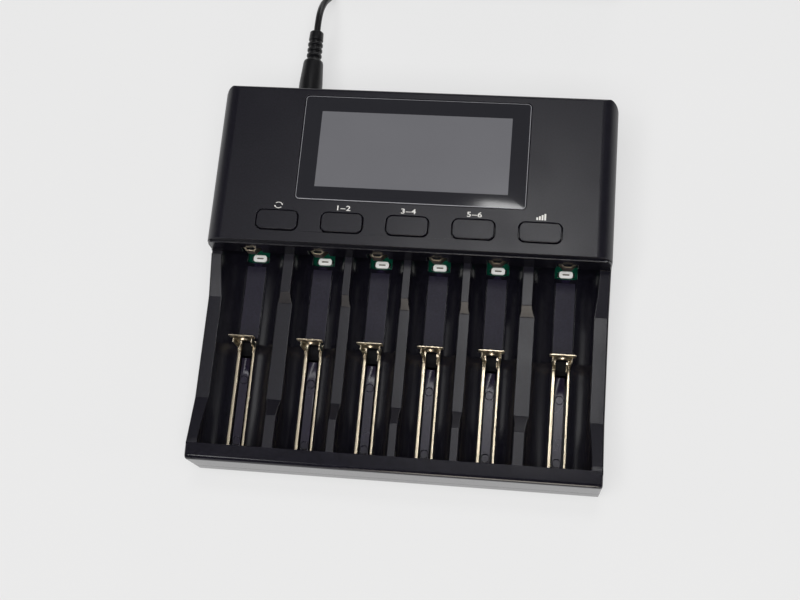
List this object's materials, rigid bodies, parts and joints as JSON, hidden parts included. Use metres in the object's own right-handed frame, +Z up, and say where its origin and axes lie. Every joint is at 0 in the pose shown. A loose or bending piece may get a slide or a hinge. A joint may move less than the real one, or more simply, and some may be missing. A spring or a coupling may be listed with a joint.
{
  "type": "battery charger",
  "caption": "Bench battery charger with side-by-side troughs, sprung sliding contacts, a raised head with a display and keys, and a lead with a wall adapter.",
  "frame": {"origin": "middle of the case on the surface that it stands on", "axes": "+Z up, -Y towards the front bar where the user stands, +X towards the right-hand trough"},
  "size_m": [0.167, 0.2901, 0.0402],
  "materials": {
    "case_black": "matt moulded",
    "window": "glossy",
    "lcd_glass": "glossy",
    "contact_metal": "bright plated",
    "spring_steel": "bright",
    "board_green": "solder mask",
    "light_white": "moulded",
    "black_plastic": "moulded",
    "foot_rubber": "matt",
    "lead_cover": "matt"
  },
  "bodies": {
    "charger": {"base_cover": "case_black", "bay_tray": "case_black", "head_cover": "case_black", "contact_panel": "case_black", "display_window": "window", "lcd_panel": "lcd_glass", "lcd_frame": "light_white", "control_board": "board_green", "charge_board": "board_green", "key_switches": "light_white", "power_socket": "black_plastic", "rubber_feet": "foot_rubber", "case_screws": "spring_steel", "bay_light_1": "light_white", "bay_light_2": "light_white", "bay_light_3": "light_white", "bay_light_4": "light_white", "bay_light_5": "light_white", "bay_light_6": "light_white", "fixed_contact_1": "contact_metal", "fixed_contact_2": "contact_metal", "fixed_contact_3": "contact_metal", "fixed_contact_4": "contact_metal", "fixed_contact_5": "contact_metal", "fixed_contact_6": "contact_metal", "return_spring_1": "spring_steel", "return_spring_2": "spring_steel", "return_spring_3": "spring_steel", "return_spring_4": "spring_steel", "return_spring_5": "spring_steel", "return_spring_6": "spring_steel", "guide_rails_1": "contact_metal", "guide_rails_2": "contact_metal", "guide_rails_3": "contact_metal", "guide_rails_4": "contact_metal", "guide_rails_5": "contact_metal", "guide_rails_6": "contact_metal", "plug_grip": "lead_cover", "plug_sleeve": "spring_steel", "lead": "lead_cover", "lead_coil": "lead_cover", "wall_adapter": "case_black", "adapter_pins": "spring_steel"},
    "slider_1": {"sliding_contact_1": "contact_metal", "carriage_1": "black_plastic"},
    "slider_2": {"sliding_contact_2": "contact_metal", "carriage_2": "black_plastic"},
    "slider_3": {"sliding_contact_3": "contact_metal", "carriage_3": "black_plastic"},
    "slider_4": {"sliding_contact_4": "contact_metal", "carriage_4": "black_plastic"},
    "slider_5": {"sliding_contact_5": "contact_metal", "carriage_5": "black_plastic"},
    "slider_6": {"sliding_contact_6": "contact_metal", "carriage_6": "black_plastic"},
    "button_1": {"key_1": "case_black"},
    "button_2": {"key_2": "case_black"},
    "button_3": {"key_3": "case_black"},
    "button_4": {"key_4": "case_black"},
    "button_5": {"key_5": "case_black"}
  },
  "joints": [
    {"name": "slider_1_slide", "type": "slide", "parent": "charger", "child": "slider_1", "axis": [0, -1, 0], "range_m": [0, 0.04], "stiffness_N_per_m": 60, "springref_m": -0.02, "deforming": ["return_spring_1"]},
    {"name": "slider_2_slide", "type": "slide", "parent": "charger", "child": "slider_2", "axis": [0, -1, 0], "range_m": [0, 0.04], "stiffness_N_per_m": 60, "springref_m": -0.02, "deforming": ["return_spring_2"]},
    {"name": "slider_3_slide", "type": "slide", "parent": "charger", "child": "slider_3", "axis": [0, -1, 0], "range_m": [0, 0.04], "stiffness_N_per_m": 60, "springref_m": -0.02, "deforming": ["return_spring_3"]},
    {"name": "slider_4_slide", "type": "slide", "parent": "charger", "child": "slider_4", "axis": [0, -1, 0], "range_m": [0, 0.04], "stiffness_N_per_m": 60, "springref_m": -0.02, "deforming": ["return_spring_4"]},
    {"name": "slider_5_slide", "type": "slide", "parent": "charger", "child": "slider_5", "axis": [0, -1, 0], "range_m": [0, 0.04], "stiffness_N_per_m": 60, "springref_m": -0.02, "deforming": ["return_spring_5"]},
    {"name": "slider_6_slide", "type": "slide", "parent": "charger", "child": "slider_6", "axis": [0, -1, 0], "range_m": [0, 0.04], "stiffness_N_per_m": 60, "springref_m": -0.02, "deforming": ["return_spring_6"]},
    {"name": "key_1_press", "type": "slide", "parent": "charger", "child": "button_1", "axis": [0, 0, -1], "range_m": [0, 0.0005], "stiffness_N_per_m": 1500, "springref_m": -0.0002},
    {"name": "key_2_press", "type": "slide", "parent": "charger", "child": "button_2", "axis": [0, 0, -1], "range_m": [0, 0.0005], "stiffness_N_per_m": 1500, "springref_m": -0.0002},
    {"name": "key_3_press", "type": "slide", "parent": "charger", "child": "button_3", "axis": [0, 0, -1], "range_m": [0, 0.0005], "stiffness_N_per_m": 1500, "springref_m": -0.0002},
    {"name": "key_4_press", "type": "slide", "parent": "charger", "child": "button_4", "axis": [0, 0, -1], "range_m": [0, 0.0005], "stiffness_N_per_m": 1500, "springref_m": -0.0002},
    {"name": "key_5_press", "type": "slide", "parent": "charger", "child": "button_5", "axis": [0, 0, -1], "range_m": [0, 0.0005], "stiffness_N_per_m": 1500, "springref_m": -0.0002}
  ]
}
